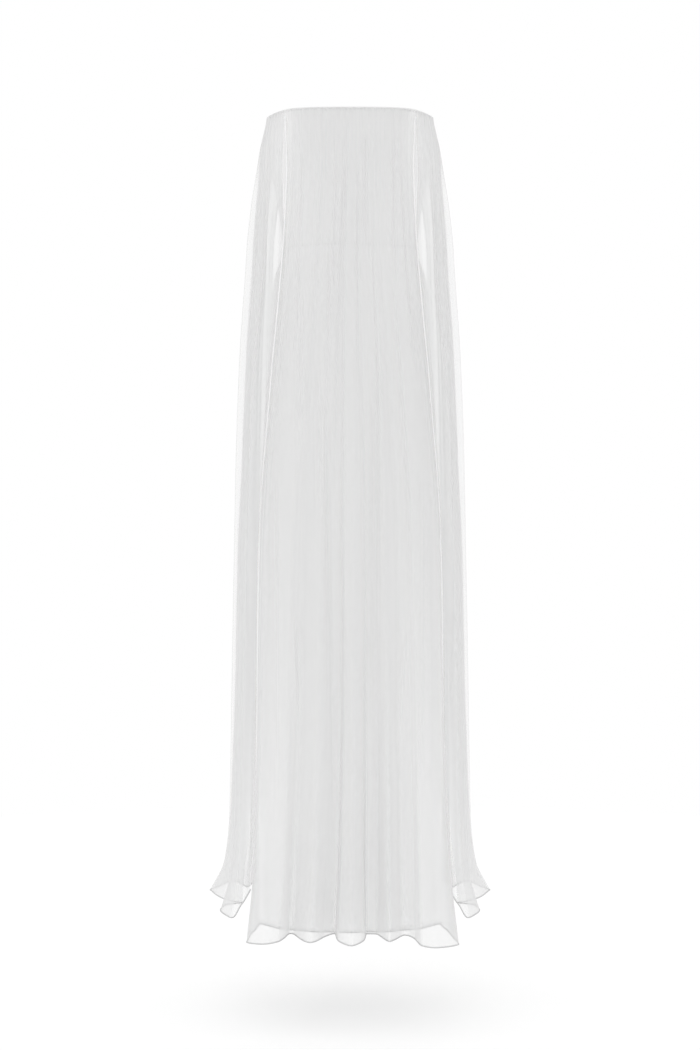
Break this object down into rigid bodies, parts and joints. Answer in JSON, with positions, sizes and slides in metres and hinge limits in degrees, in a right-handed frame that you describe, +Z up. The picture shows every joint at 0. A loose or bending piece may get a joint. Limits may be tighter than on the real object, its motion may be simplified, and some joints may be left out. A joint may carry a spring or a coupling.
{
  "type": "gown",
  "caption": "Strapless white corset gown with a bound top edge, gathered sheer panels over a fitted bodice and inner skirt, and open cape drapes at the sides",
  "frame": {"origin": "centre of the top edge, where the wearer's bust holds the gown", "axes": "+Z up along the wearer, front towards -Y, wearer's left towards +X"},
  "size_m": [0.5354, 0.5601, 1.457],
  "materials": {
    "binding": "matt woven silk",
    "corset": "smooth satin, boned",
    "skirt": "smooth matt crepe lining",
    "sheer": "matt sheer chiffon"
  },
  "bodies": {
    "root": {"top_binding": "binding", "corset_front": "corset", "corset_back_left": "corset", "corset_back_right": "corset", "skirt_front": "skirt", "skirt_back": "skirt", "panel_front": "sheer", "panel_back": "sheer", "cape_left": "sheer", "cape_right": "sheer"}
  },
  "joints": []
}
